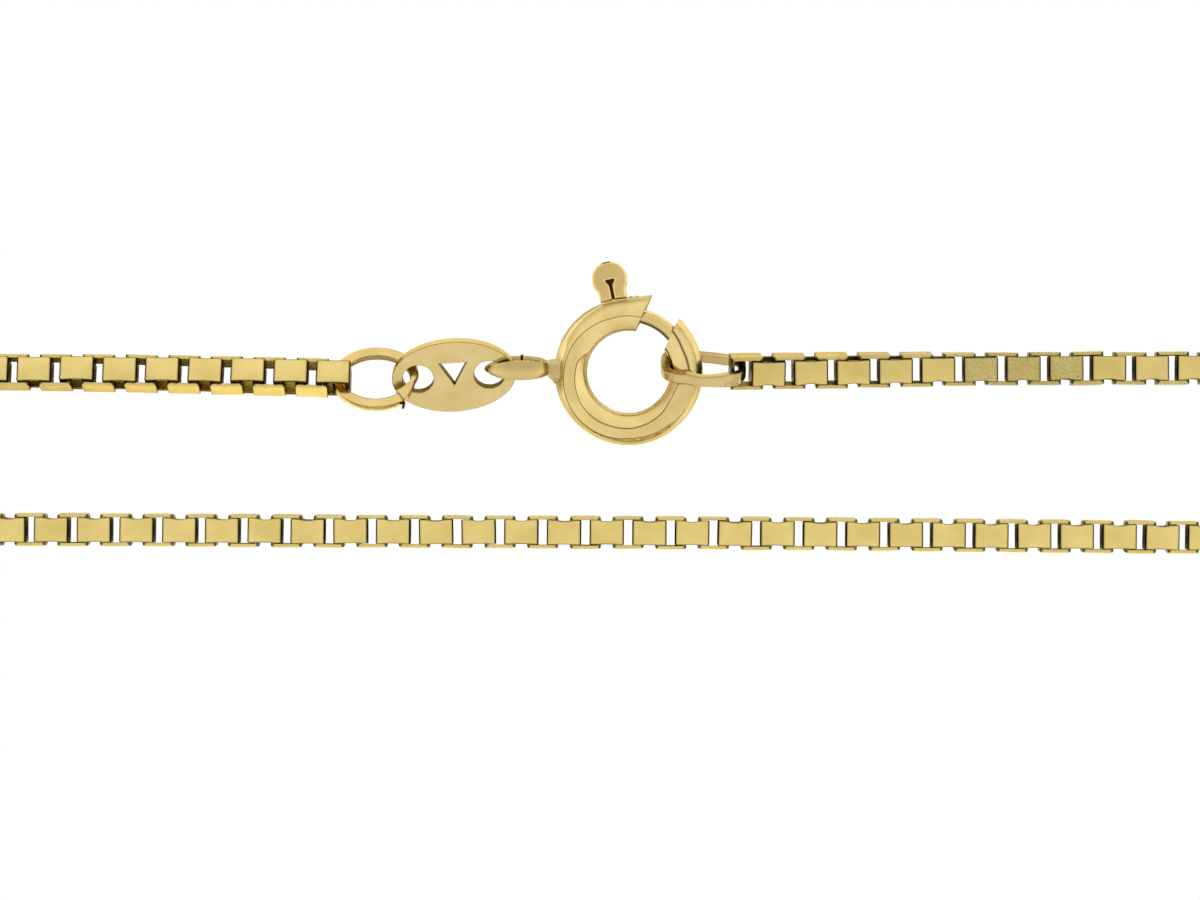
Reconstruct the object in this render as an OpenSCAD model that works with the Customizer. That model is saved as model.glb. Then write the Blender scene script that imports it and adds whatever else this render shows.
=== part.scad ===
// Box chain necklace with a bolt ring clasp, laid flat as a long closed loop.
// Millimetres. +X runs along the strands, +Y from the plain strand to the clasp's strand,
// +Z up from the surface. The origin is on that surface, under the middle of the whole outline.

/* [Necklace] */
// Length of the closed necklace, clasp included
necklace_length = 450; // [430:5:600]
// Distance from one strand's centre to the other's
strand_gap = 7.64; // [7.2:0.1:9]
// Radius of the round turn at each end of the loop
turn_radius = 7; // [6.5:0.5:10]

/* [Box links] */
// Outer width and height of a link
link_size = 1.55; // [1.45:0.05:1.65]
// Outer length of a flat link, along the chain
link_length = 1.62; // [1.54:0.02:1.7]
// Outer length of an upright link, along the chain
upright_length = 1.46; // [1.4:0.02:1.54]
// Thickness of the strip that a link is bent from
link_wall = 0.18; // [0.14:0.01:0.19]
// Outer radius of a link's bends
link_bend = 0.2; // [0.19:0.01:0.3]
// Clearance on each side of a strip, inside the next link
strip_clearance = 0.13; // [0.12:0.01:0.16]
// Play between the end walls of two links
wall_play = 0.172; // [0.14:0.004:0.18]
// Half-length of the stretch that is made as separate links
linked_reach = 60; // [40:1:62]

/* [Bolt ring] */
// Outer diameter of the bolt ring
ring_diameter = 7; // [6.8:0.1:7.4]
// Diameter of the ring's tube
tube_diameter = 1.52; // [1.46:0.02:1.56]
// Diameter of the bore inside the tube
bore_diameter = 0.86; // [0.84:0.02:0.94]
// Diameter of the bolt's wire
bolt_diameter = 0.68; // [0.6:0.02:0.7]
// Width of the straight opening in the ring
mouth_width = 1.62; // [1.5:0.02:1.7]
// Angle that the bolt turns back by when the clasp is opened
bolt_travel = 41; // [40:0.5:43]
// Width of the slot that the thumb catch runs in
slot_width = 0.56; // [0.5:0.02:0.6]

/* [Thumb catch] */
// Radius of the catch's round head
catch_head_radius = 0.83; // [0.7:0.01:0.95]
// Distance from the ring's centre to the head's centre
catch_height = 4.51; // [4.4:0.01:4.7]
// Width of the catch's leg
catch_leg_width = 1.32; // [1.2:0.02:1.36]
// Thickness of the catch's head
catch_thickness = 0.8; // [0.7:0.05:1]

/* [Rings and tag] */
// Thickness of the end ring's strip
end_strip_thickness = 0.36; // [0.3:0.01:0.38]
// Width of the end ring's strip
end_strip_width = 0.5; // [0.4:0.02:0.52]
// Thickness of the eye's strip
eye_thickness = 0.38; // [0.32:0.01:0.4]
// Width of the eye's strip at its middle
eye_width = 0.9; // [0.8:0.02:0.92]
// Diameter of the jump ring's wire
jump_wire = 0.45; // [0.4:0.01:0.46]
// Length of the oval tag
tag_length = 5.86; // [5.7:0.02:6]
// Width of the oval tag
tag_width = 3.52; // [3.4:0.02:3.8]
// Thickness of the oval tag
tag_thickness = 0.56; // [0.5:0.02:0.62]

/* [Hidden] */

gold = [0.86, 0.76, 0.42];
pale_gold = [0.9, 0.82, 0.52];
gap = 0.02;

// Bolt ring: its centre, its tube and the angles round it, counted from +X
ring_centre = [1.82, 3.77];
ring_radius = (ring_diameter - tube_diameter) / 2;
tube_r = tube_diameter / 2;
bolt_r = bolt_diameter / 2;
mouth_direction = 65;
mouth_left = 0.534;
catch_angle = 101.4;
bolt_tip_angle = 37;
bolt_tail_angle = 118;
slot_start_angle = 74;
slot_end_margin = 16;
slot_end_angle = catch_angle + bolt_travel + slot_end_margin;
// The lip of the mouth that stands out under the catch
lip_radius = tube_r - 0.06;
lip_slope = 7.1;
lip_rise = 0.02;
lip_length = 1.9;

// Catch: its slit and where its narrow foot ends
slit_half_width = 0.045;
slit_bottom = 3.45;
slit_eye_radius = 0.12;
foot_clearance = 0.08;
foot_thickness = slot_width - 0.1;

// Solder cone and eye, measured to the left of the ring
eye_half_length = 1.37;
eye_half_height = 0.75;
eye_points = 48;
eye_arc_radius = 4.5;
eye_split_x = 0.24;
eye_split = 0.05;
eye_tilt = 17;
eye_rise = 0.175;
eye_offset = 0.215 + eye_thickness / 2 + eye_half_length;
eye_x = -ring_diameter / 2 - eye_offset;
cone_wide_radius = 0.6;
cone_narrow_radius = 0.36;
cone_sink = 0.3;
cone_rise = 0.07;

// Tag: hole centres, window and tilt
tag_tilt = 22;
tag_turn = 4;
tag_hole_radius = 0.69;
tag_hole_stretch = 0.1;
tag_hole_spacing = 3.38;
tag_rest_z = (tag_width * sin(tag_tilt) + tag_thickness * cos(tag_tilt)) / 2;
tag_centre = [
    ring_centre.x + eye_x - eye_half_length + 0.08 - tag_hole_spacing / 2,
    3.68,
    tag_rest_z + gap
];
window_half_width = 0.67;
window_top = 0.7;
window_bottom = -0.42;

// Jump ring
jump_half_length = 1.84;
jump_half_width = 1.41;
jump_tilt = -30;
jump_seat = 0.13;
jump_z = 0.95;
jump_y = 3.47;
jump_centre = [tag_centre.x - tag_hole_spacing / 2 - jump_seat - jump_half_length, jump_y, jump_z];
jump_split_angle = 310;
jump_split = 0.07;

// End ring: half-length, tilt and how its height and level change along it
end_half_length = 1.83;
end_half_height = 1.32;
end_height_taper = 0.107;
end_tilt = 32;
end_level = 1.424;
end_level_taper = 0.09;
end_seat_gap = 0.1;
end_centre = [
    ring_centre.x + ring_radius + end_half_length - tube_r - end_strip_thickness / 2 - end_seat_gap,
    3.93,
    end_level
];

// Heights of the ring's tube at the end ring and of its eye, and the lean that they give
tube_seat_z = 1.46;
eye_z = 1.04;
ring_lean = atan((tube_seat_z - eye_z) / (ring_radius - eye_x));
ring_z = tube_seat_z - ring_radius * tan(ring_lean);

// Chain: the strip's width, the pitch and where its two ends sit
left_end_play = 0.18;
right_end_play = 0.2;
strip_width = link_size - 2 * link_wall - 2 * strip_clearance;
nominal_pitch = (link_length + upright_length) / 2 - 2 * link_wall - wall_play;
left_end_x = jump_centre.x - jump_half_length - left_end_play;
right_wall_x = end_centre.x + end_half_length - end_strip_thickness / 2 - right_end_play;
right_end_x = right_wall_x + upright_length / 2 - link_wall;
clasp_span = right_end_x - left_end_x;
right_end_lift = 0.45;
lift_run = 9;
surface_gap = 0.006;

// Chosen heights of the strands over the loop's middle line, from the clasp round to it again.
// Columns: which end the point moves with (0 for neither), distance in X from it, Y.
flare_run = 10.5;
flare_half_run = 7;
flare_half_rise = 0.5;
left_h = strand_gap / 2;
right_h = strand_gap / 2 + 0.18;
UPPER_LEFT = [
    [0, left_end_x, 3.53],
    [0, -20.3, 3.72],
    [0, -28.4, left_h],
    [-1, flare_run + 8, left_h],
    [-1, flare_run, left_h],
    [-1, flare_half_run, left_h + flare_half_rise]
];
LOWER = [
    [-1, flare_half_run, -left_h - flare_half_rise],
    [-1, flare_run, -left_h],
    [-1, flare_run + 8, 0.14 - left_h],
    [0, -28.4, 0.2 - left_h],
    [0, -9, 0.1 - left_h],
    [0, 9, -left_h],
    [0, 28.4, -right_h],
    [1, -flare_run - 8, -right_h],
    [1, -flare_run, -right_h],
    [1, -flare_half_run, -right_h - flare_half_rise]
];
UPPER_RIGHT = [
    [1, -flare_half_run, right_h + flare_half_rise],
    [1, -flare_run, right_h],
    [1, -flare_run - 8, right_h],
    [0, 28.4, right_h],
    [0, 15, right_h - 0.06],
    [0, right_end_x, right_h - 0.16]
];
// Roll of the links about the chain's own line. Columns: distance from the chain's end, degrees.
ROLL_LEFT = [[0, 20], [7, 15], [14, 9], [20, 4], [30, 0]];
ROLL_RIGHT = [[0, -11], [4, -9], [11, -2.5], [14, 0]];

turn_step = 20;
samples_per_span = 14;

// A point of a table above, for a loop whose turns are centred at plus and minus reach
function placed(row, reach) = [row[0] * reach + row[1], row[2]];

// The round turn at one end, from the upper strand to the lower one for side -1
function turn_points(side, reach) = [
    for (a = [120 : -turn_step : -120])
        [side * (reach + turn_radius * cos(a)), -side * turn_radius * sin(a)]
];

function control_points(reach) = concat(
    [for (row = UPPER_LEFT) placed(row, reach)],
    turn_points(-1, reach),
    [for (row = LOWER) placed(row, reach)],
    turn_points(1, reach),
    [for (row = UPPER_RIGHT) placed(row, reach)]
);

// Direction of the curve at point i, as a change for each millimetre
function slope_at(p, i) =
    let (last = len(p) - 1)
    i == 0 ? (p[1] - p[0]) / norm(p[1] - p[0])
    : i == last ? (p[last] - p[last - 1]) / norm(p[last] - p[last - 1])
    : let (a = norm(p[i] - p[i - 1]), b = norm(p[i + 1] - p[i]))
        ((p[i] - p[i - 1]) / a * b + (p[i + 1] - p[i]) / b * a) / (a + b);

function hermite(p, q, m, n, t) =
    (2 * pow(t, 3) - 3 * pow(t, 2) + 1) * p + (pow(t, 3) - 2 * pow(t, 2) + t) * m
    + (3 * pow(t, 2) - 2 * pow(t, 3)) * q + (pow(t, 3) - pow(t, 2)) * n;

function smooth_line(p) = concat(
    [
        for (i = [0 : len(p) - 2])
            let (d = norm(p[i + 1] - p[i]), m = slope_at(p, i) * d, n = slope_at(p, i + 1) * d)
            for (k = [0 : samples_per_span - 1])
                hermite(p[i], p[i + 1], m, n, k / samples_per_span)
    ],
    [p[len(p) - 1]]
);

// Distance along the line at each of its points
function distances(line) = [
    for (i = 0, d = 0; i < len(line);
        d = d + (i + 1 < len(line) ? norm(line[i + 1] - line[i]) : 0), i = i + 1) d
];

function line_length(line) = distances(line)[len(line) - 1];

// The loop is stretched in its four straight runs until its length is right
trial_reach = necklace_length / 4.5;
chain_length = necklace_length - clasp_span;
reach = trial_reach + (chain_length - line_length(smooth_line(control_points(trial_reach)))) / 4;

route = smooth_line(control_points(reach));
along = distances(route);
route_length = along[len(along) - 1];
x_table = [for (i = [0 : len(route) - 1]) [along[i], route[i].x]];
y_table = [for (i = [0 : len(route) - 1]) [along[i], route[i].y]];

// Links come in pairs, flat then upright, so their number is even
link_count = 2 * round((route_length / nominal_pitch + 1) / 2);
pitch = route_length / (link_count - 1);

function roll_at(s) = lookup(s, ROLL_LEFT) + lookup(route_length - s, ROLL_RIGHT);

// Point of the chain's line, which the end ring lifts at the end of the route
function line_at(s) = [
    lookup(s, x_table),
    lookup(s, y_table),
    right_end_lift * pow(max(0, 1 - (route_length - s) / lift_run), 2)
];

function heading_at(s) =
    let (step = line_at(min(s + pitch / 2, route_length)) - line_at(max(s - pitch / 2, 0)))
    step / norm(step);

// Centre of the chain at a distance along it: a rolled link stands on its edge
function point_at(s) =
    let (half_height = link_size / 2 * cos(roll_at(s)) + strip_width / 2 * abs(sin(roll_at(s))))
    line_at(s) + [0, 0, surface_gap + half_height];

// Middle of the whole outline in Y, from the catch's top and the lower edge of a turn
catch_top = ring_centre.y + catch_height * sin(catch_angle) + catch_head_radius;
turn_bottom = -turn_radius - link_size / 2;
outline_middle = (catch_top + turn_bottom) / 2;

function rounded_profile(thickness, width, corner = 0.3, sides = 12) = [
    for (k = [0 : sides - 1])
        let (a = 360 * (k + 0.5) / sides, c = cos(a), s = sin(a))
        [thickness / 2 * sign(c) * pow(abs(c), corner), width / 2 * sign(s) * pow(abs(s), corner)]
];

// Skin over a list of rings of points, all with the same number of points
module skin(rings, closed) {
    n = len(rings[0]);
    m = len(rings);
    faces_round = [
        for (i = [0 : (closed ? m - 1 : m - 2)])
            for (k = [0 : n - 1])
                let (a = i * n, b = ((i + 1) % m) * n, l = (k + 1) % n)
                for (face = [[a + k, b + l, b + k], [a + k, a + l, b + l]]) face
    ];
    caps = closed ? [] : [[for (k = [n - 1 : -1 : 0]) k], [for (k = [0 : n - 1]) (m - 1) * n + k]];
    polyhedron([for (ring = rings) for (p = ring) p], concat(faces_round, caps), convexity = 10);
}

// Ring of a profile at a point, its first axis across the line and its second along the given side
function ring_at(point, tangent, side, profile) =
    let (across = cross(tangent, side), u = across / norm(across))
    [for (q = profile) point + q[0] * u + q[1] * side];

function signed_power(value, power) = sign(value) * pow(abs(value), power);

// One link: a strip bent into a square loop, lying along X with its open sides facing Y
module box_link(length) {
    rotate([90, 0, 0])
        linear_extrude(strip_width, center = true)
            difference() {
                rounded_oblong(length, link_size, link_bend);
                square([length - 2 * link_wall, link_size - 2 * link_wall], center = true);
            }
}

module rounded_oblong(length, height, corner) {
    square([length, height - 2 * corner], center = true);
    square([length - 2 * corner, height], center = true);
    for (x = [-1, 1])
        for (y = [-1, 1])
            translate([x * (length / 2 - corner), y * (height / 2 - corner)])
                circle(corner, $fn = 24);
}

module link_on_route(i) {
    s = i * pitch;
    heading = heading_at(s);
    translate(point_at(s))
        rotate([0, -asin(heading.z), atan2(heading.y, heading.x)])
            rotate([roll_at(s) + 90 * (i % 2), 0, 0])
                box_link(i % 2 == 0 ? link_length : upright_length);
}

function is_linked(i) = abs(point_at(i * pitch).x) <= linked_reach;

module chain_links() {
    color(gold)
        for (i = [0 : link_count - 1])
            if (is_linked(i))
                link_on_route(i);
}

// The plain turns at both ends of the loop, from the last separate link round to the next one
module chain_turns() {
    hidden = [for (i = [0 : link_count - 1]) if (!is_linked(i)) i];
    breaks = [for (k = [1 : len(hidden) - 1]) if (hidden[k] != hidden[k - 1] + 1) k];
    turn_tube(hidden[0], hidden[breaks[0] - 1]);
    turn_tube(hidden[breaks[0]], hidden[len(hidden) - 1]);
}

// Rings of each turn's tube, crowded towards the middle of its turn
tube_rings = 39;
crowding = 1.6;

module turn_tube(first, last) {
    overhang = pitch - link_length / 2 - strip_clearance;
    middle = (first + last) / 2 * pitch;
    half_run = (last - first) / 2 * pitch + overhang;
    flat = link_size / 2 / cos(22.5);
    profile = [for (k = [0 : 7]) flat * [cos(22.5 + 45 * k), sin(22.5 + 45 * k)]];
    color(gold)
        skin([
            for (k = [0 : tube_rings])
                let (s = middle + half_run * signed_power(2 * k / tube_rings - 1, crowding))
                ring_at(point_at(s), heading_at(s), [0, 0, 1], profile)
        ], false);
}

module in_ring_frame() {
    translate([ring_centre.x, ring_centre.y, ring_z])
        rotate([0, -ring_lean, 0])
            children();
}

module ring_torus(radius) {
    rotate_extrude($fn = 96)
        translate([ring_radius, 0])
            circle(radius, $fn = 48);
}

// Straight opening, cut from the hole outwards
module mouth() {
    rotate([0, 0, mouth_direction])
        translate([0.4, mouth_left - mouth_width, -ring_diameter / 2])
            cube([ring_diameter, mouth_width, ring_diameter]);
}

module catch_slot() {
    rotate([0, 0, slot_start_angle])
        rotate_extrude(angle = slot_end_angle - slot_start_angle, $fn = 96)
            translate([ring_radius, -slot_width / 2])
                square([ring_diameter, slot_width]);
}

// Metal raised round the mouth, where the slot runs out
module mouth_lip() {
    translate([0, ring_radius - lip_rise, 0])
        rotate([0, 0, lip_slope])
            translate([-0.2, 0, 0])
                rotate([0, 90, 0])
                    cylinder(h = lip_length, r = lip_radius, $fn = 48);
}

module solder_cone() {
    length = cone_sink - eye_x - eye_half_length - ring_diameter / 2;
    translate([cone_sink - ring_diameter / 2, cone_rise, 0])
        rotate([0, -90, 0])
            cylinder(h = length, r1 = cone_wide_radius, r2 = cone_narrow_radius, $fn = 32);
}

module rounded_loop(half_length, half_height) {
    polygon([
        for (k = [0 : eye_points - 1])
            let (a = 360 * (k + 0.5) / eye_points)
            [half_length * signed_power(cos(a), 0.8), half_height * signed_power(sin(a), 0.8)]
    ]);
}

// Split eye on its edge, soldered to the ring on its right. Two arcs narrow its strip towards the ends.
module eye() {
    half = eye_thickness / 2;
    span = 2 * (eye_half_height + eye_thickness);
    translate([eye_x, eye_rise, 0])
        rotate([90 + eye_tilt, 0, 0])
            difference() {
                intersection() {
                    linear_extrude(eye_width, center = true)
                        difference() {
                            rounded_loop(eye_half_length + half, eye_half_height + half);
                            rounded_loop(eye_half_length - half, eye_half_height - half);
                        }
                    narrowing_lens(span);
                }
                translate([eye_split_x, -eye_half_height, 0])
                    cube([eye_split, 3 * eye_thickness, 2 * eye_width], center = true);
            }
}

module narrowing_lens(span) {
    intersection() {
        translate([0, 0, eye_arc_radius - eye_width / 2])
            rotate([90, 0, 0]) cylinder(h = span, r = eye_arc_radius, center = true, $fn = 96);
        translate([0, 0, eye_width / 2 - eye_arc_radius])
            rotate([90, 0, 0]) cylinder(h = span, r = eye_arc_radius, center = true, $fn = 96);
    }
}

module clasp_ring() {
    color(pale_gold)
        in_ring_frame()
            union() {
                difference() {
                    union() {
                        ring_torus(tube_r);
                        mouth_lip();
                    }
                    ring_torus(bore_diameter / 2);
                    catch_slot();
                    mouth();
                }
                difference() {
                    solder_cone();
                    ring_torus(bore_diameter / 2 + gap);
                }
                eye();
            }
}

module bolt() {
    color(pale_gold)
        in_ring_frame()
            rotate([0, 0, bolt_tip_angle])
                rotate_extrude(angle = bolt_tail_angle - bolt_tip_angle, $fn = 96)
                    translate([ring_radius, 0])
                        circle(bolt_r, $fn = 32);
}

// Folded strip seen on edge: round head and leg with a slit between its two layers
module catch_outline(bottom) {
    difference() {
        union() {
            translate([catch_height, 0]) circle(catch_head_radius, $fn = 64);
            translate([bottom, -catch_leg_width / 2])
                square([catch_height - bottom, catch_leg_width]);
        }
        translate([catch_height, 0]) circle(slit_eye_radius, $fn = 24);
        translate([slit_bottom, -slit_half_width])
            square([catch_height - slit_bottom, 2 * slit_half_width]);
    }
}

module thumb_catch() {
    shoulder = ring_diameter / 2 + foot_clearance;
    color(gold)
        in_ring_frame()
            rotate([0, 0, catch_angle])
                difference() {
                    union() {
                        linear_extrude(catch_thickness, center = true) catch_outline(shoulder);
                        translate([ring_radius, -catch_leg_width / 2, -foot_thickness / 2])
                            cube([shoulder - ring_radius + 0.3, catch_leg_width, foot_thickness]);
                    }
                    ring_torus(bolt_r + gap);
                    translate([slit_bottom, -slit_half_width, -catch_thickness])
                        cube([catch_height - slit_bottom, 2 * slit_half_width, 2 * catch_thickness]);
                    translate([0, -catch_leg_width, -catch_thickness])
                        cube([ring_radius + bolt_r / 2, 2 * catch_leg_width, 2 * catch_thickness]);
                }
}

end_rings = 56;

// Point of the end ring's centre line at angle a
function end_point(a) =
    let (
        share = signed_power(cos(a), 0.667),
        v = (end_half_height - end_height_taper * share) * signed_power(sin(a), 0.667)
    )
    [end_half_length * share, -v * sin(end_tilt), v * cos(end_tilt) - end_level_taper * share];

module end_ring() {
    profile = rounded_profile(end_strip_thickness, end_strip_width, 0.5);
    side = [0, cos(end_tilt), sin(end_tilt)];
    color(gold)
        translate(end_centre)
            skin([
                for (k = [0 : end_rings - 1])
                    let (
                        a = 360 * (k + 0.5) / end_rings,
                        step = end_point(a + 0.5) - end_point(a - 0.5)
                    )
                    ring_at(end_point(a), step / norm(step), side, profile)
            ], true);
}

tag_points = 64;

module tag_hole(x) {
    for (shift = [-1, 1])
        translate([x + shift * tag_hole_stretch / 2, 0, 0])
            cylinder(h = 2 * tag_thickness, r = tag_hole_radius, center = true, $fn = 48);
}

module tag() {
    oval = [
        for (k = [0 : tag_points - 1])
            [tag_length / 2 * cos(360 * k / tag_points), tag_width / 2 * sin(360 * k / tag_points)]
    ];
    color(gold)
        translate(tag_centre)
            rotate([tag_tilt, 0, 0])
                rotate([0, 0, tag_turn])
                    difference() {
                        linear_extrude(tag_thickness, center = true) polygon(oval);
                        tag_hole(-tag_hole_spacing / 2);
                        tag_hole(tag_hole_spacing / 2);
                        linear_extrude(2 * tag_thickness, center = true)
                            polygon([
                                [-window_half_width, window_top],
                                [window_half_width, window_top],
                                [0, window_bottom]
                            ]);
                    }
}

jump_rings = 52;

module jump_ring() {
    split = jump_split / jump_half_width * 28;
    profile = rounded_profile(jump_wire, jump_wire, 0.75);
    color(gold)
        translate(jump_centre)
            rotate([jump_tilt, 0, 0])
                skin([
                    for (k = [0 : jump_rings])
                        let (
                            a = jump_split_angle + split + (360 - 2 * split) * k / jump_rings,
                            tangent = [-jump_half_length * sin(a), jump_half_width * cos(a), 0]
                        )
                        ring_at(
                            [jump_half_length * cos(a), jump_half_width * sin(a), 0],
                            tangent / norm(tangent), [0, 0, 1], profile
                        )
                ], false);
}

translate([0, -outline_middle, 0]) {
    chain_links();
    chain_turns();
    clasp_ring();
    bolt();
    thumb_catch();
    end_ring();
    tag();
    jump_ring();
}
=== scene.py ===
import math
import random

import bmesh
import bpy
from mathutils import Matrix, Vector


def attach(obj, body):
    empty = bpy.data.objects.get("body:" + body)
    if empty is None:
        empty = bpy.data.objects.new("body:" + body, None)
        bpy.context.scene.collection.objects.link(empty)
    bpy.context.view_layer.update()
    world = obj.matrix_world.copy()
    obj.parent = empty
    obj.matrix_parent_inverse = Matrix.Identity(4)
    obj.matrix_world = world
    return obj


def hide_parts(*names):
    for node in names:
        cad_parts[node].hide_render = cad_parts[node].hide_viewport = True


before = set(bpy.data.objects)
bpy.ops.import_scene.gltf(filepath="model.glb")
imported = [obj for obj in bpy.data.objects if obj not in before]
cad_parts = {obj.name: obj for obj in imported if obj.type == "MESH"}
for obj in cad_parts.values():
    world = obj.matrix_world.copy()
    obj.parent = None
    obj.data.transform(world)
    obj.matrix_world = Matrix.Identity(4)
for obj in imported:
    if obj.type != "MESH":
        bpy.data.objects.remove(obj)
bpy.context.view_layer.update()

MM = 0.001
# Shapes are laid out in part.scad's own coordinates, in millimetres. The middle of the necklace's
# outline is at this Y there, and the record's origin is under that middle.
OUTLINE_MIDDLE = 0.6230115
RANDOM_SEED = 11
rng = random.Random(RANDOM_SEED)


def to_metres(p):
    return Vector((p[0] * MM, (p[1] - OUTLINE_MIDDLE) * MM, p[2] * MM))


# Camera, floor and light, in metres

BLACK, WHITE = (0, 0, 0, 1), (1, 1, 1, 1)
CAMERA_LENS, CAMERA_SENSOR = 150, 36
CAMERA_PLACE = (0.00047, -0.000495, 0.2373)
CAMERA_NEAR = 0.005
FLOOR_HALF = 1.5
FLOOR_BLUE, FLOOR_ROUGHNESS, FLOOR_SPECULAR = 0.98, 0.9, 0.1
WHITE_GROUND_Z, LIT_GROUND_Z = -0.00001, -0.00002
LIT_GROUND_TONE = 0.74
# The seen ground is painted dark as shade in narrow slits: how far off its openness is tested, and
# the painted colours
SLIT_SHADE_REACH, SLIT_SHADE_SAMPLES = 0.0004, 8
SLIT_SHADE_STOPS = [(0.02, (0.02, 0.012, 0.006, 1)), (0.11, WHITE)]
# Z of a direction in the sky, then the brightness there
SKY = [(0.0, 0.5), (0.1, 0.75), (0.25, 1.08), (0.5, 1.2), (0.8, 1.08), (1.0, 0.97)]
SKY_GREEN_BLUE = 0.985

camera_data = bpy.data.cameras.new("camera")
camera_data.lens = CAMERA_LENS
camera_data.sensor_width = CAMERA_SENSOR
camera_data.clip_start = CAMERA_NEAR
camera = bpy.data.objects.new("camera", camera_data)
camera.location = CAMERA_PLACE
bpy.context.collection.objects.link(camera)
bpy.context.scene.camera = camera
bpy.context.scene.view_settings.view_transform = "Standard"


def new_material(name):
    material = bpy.data.materials.new(name)
    material.use_nodes = True
    nodes = material.node_tree.nodes
    return material, nodes, material.node_tree.links, nodes["Principled BSDF"]


def ramp_node(nodes, links, source, stops):
    """Colour ramp with the given stops. Returns its colour."""
    ramp = nodes.new("ShaderNodeValToRGB")
    elements = ramp.color_ramp.elements
    while len(elements) < len(stops):
        elements.new(0.5)
    for element, (place, colour) in zip(elements, stops):
        element.position = place
        element.color = colour
    links.new(source, ramp.inputs["Fac"])
    return ramp.outputs["Color"]


def openness_node(nodes, reach, samples):
    """How open the space above each point is, from 0 in a deep slit to 1."""
    node = nodes.new("ShaderNodeAmbientOcclusion")
    node.samples = samples
    node.inputs["Distance"].default_value = reach
    return node.outputs["AO"]


def make_floor(name, height, tone, glow, seen):
    """A floor plane that only the camera sees, or one that only light and reflections meet."""
    mesh = bpy.data.meshes.new(name)
    corners = ((-1, -1), (1, -1), (1, 1), (-1, 1))
    mesh.from_pydata([(x * FLOOR_HALF, y * FLOOR_HALF, 0) for x, y in corners], [], [(0, 1, 2, 3)])
    floor = bpy.data.objects.new(name, mesh)
    floor.location.z = height
    bpy.context.collection.objects.link(floor)
    material, nodes, links, shader = new_material(name)
    shader.inputs["Base Color"].default_value = (tone, tone, tone * FLOOR_BLUE, 1)
    shader.inputs["Roughness"].default_value = FLOOR_ROUGHNESS
    shader.inputs["Specular IOR Level"].default_value = FLOOR_SPECULAR
    shader.inputs["Emission Strength"].default_value = glow
    if seen:
        # The seen floor's glow is painted dark as shade in narrow slits
        openness = openness_node(nodes, SLIT_SHADE_REACH, SLIT_SHADE_SAMPLES)
        slit_shaded_glow = ramp_node(nodes, links, openness, SLIT_SHADE_STOPS)
        links.new(slit_shaded_glow, shader.inputs["Emission Color"])
    mesh.materials.append(material)
    floor.visible_camera = seen
    floor.visible_diffuse = not seen
    floor.visible_glossy = not seen
    floor.visible_shadow = not seen


def make_world():
    """Plain studio light from all round, which varies with height only."""
    world = bpy.data.worlds.new("studio")
    bpy.context.scene.world = world
    world.use_nodes = True
    nodes, links = world.node_tree.nodes, world.node_tree.links
    split = nodes.new("ShaderNodeSeparateXYZ")
    links.new(nodes.new("ShaderNodeTexCoord").outputs["Generated"], split.inputs[0])
    stops = [(place, (value, value * SKY_GREEN_BLUE, value * SKY_GREEN_BLUE, 1))
             for place, value in SKY]
    links.new(ramp_node(nodes, links, split.outputs["Z"], stops),
              nodes["Background"].inputs["Color"])
    nodes["Background"].inputs["Strength"].default_value = 1.0


def area_light(name, place, size, power):
    """A square light that points at the origin and isn't mirrored in the gold."""
    data = bpy.data.lights.new(name, "AREA")
    data.size = size
    data.energy = power
    light = bpy.data.objects.new(name, data)
    light.location = place
    light.rotation_mode = "QUATERNION"
    light.rotation_quaternion = (-Vector(place)).to_track_quat("-Z", "Y")
    light.visible_glossy = False
    bpy.context.collection.objects.link(light)


make_floor("white_ground", WHITE_GROUND_Z, 0.0, 1.0, True)
make_floor("lit_ground", LIT_GROUND_Z, LIT_GROUND_TONE, 0.0, False)
make_world()
area_light("key", (-0.28, 0.22, 0.42), 0.16, 2.6)
area_light("fill", (0.3, -0.16, 0.4), 0.2, 2.2)


# Materials. Noise scales are per metre, and reaches and depths are in metres.

# Sockets of a colour Mix node, by number because their names repeat
MIX_SHARE, MIX_FIRST, MIX_SECOND, MIX_RESULT = 0, 6, 7, 2
# Brown of the painted shade, in crevices and by each point's painted shade share
SHADE_BROWN = (0.02, 0.011, 0.002, 1)
DULL_OLIVE = (0.2, 0.19, 0.085, 1)
SPECULAR_TINT = (0.8, 0.66, 0.42, 1)
# Painted shade: the gold goes brown where it is closed in within this reach
CREVICE_SHADE_REACH, CREVICE_SHADE_SAMPLES = 0.00034, 6
CREVICE_SHADE_STOPS = [(0.1, BLACK), (0.5, WHITE)]
# The colour drifts between a darker and a lighter share of the tint
DRIFT_SCALE, DRIFT_DETAIL = 900, 3
DARK_AT, DARK_SHARE = 0.35, (0.93, 0.92, 0.86)
LIGHT_AT, LIGHT_SHARE = 0.68, (1.05, 1.05, 1.12)
SPOT_SCALE, SPOT_DETAIL = 9500, 2
SPOT_FROM, SPOT_TO = 0.2, 0.75
# Scratches are noise drawn out along one direction
HAIR_SCALE, HAIR_DETAIL = 2600, 4
HAIR_TURN, HAIR_STRETCH = (0.3, 0.2, 0.5), (1, 9, 3)
HAIR_RELIEF = 0.25
DENT_SCALE, DENT_DETAIL = 1500, 1
DENT_DEPTH = 0.000015


def noise_node(nodes, links, vector, scale, detail):
    noise = nodes.new("ShaderNodeTexNoise")
    noise.inputs["Scale"].default_value = scale
    noise.inputs["Detail"].default_value = detail
    links.new(vector, noise.inputs["Vector"])
    return noise.outputs["Fac"]


def attribute_node(nodes, name):
    node = nodes.new("ShaderNodeAttribute")
    node.attribute_name = name
    return node.outputs["Fac"]


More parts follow.
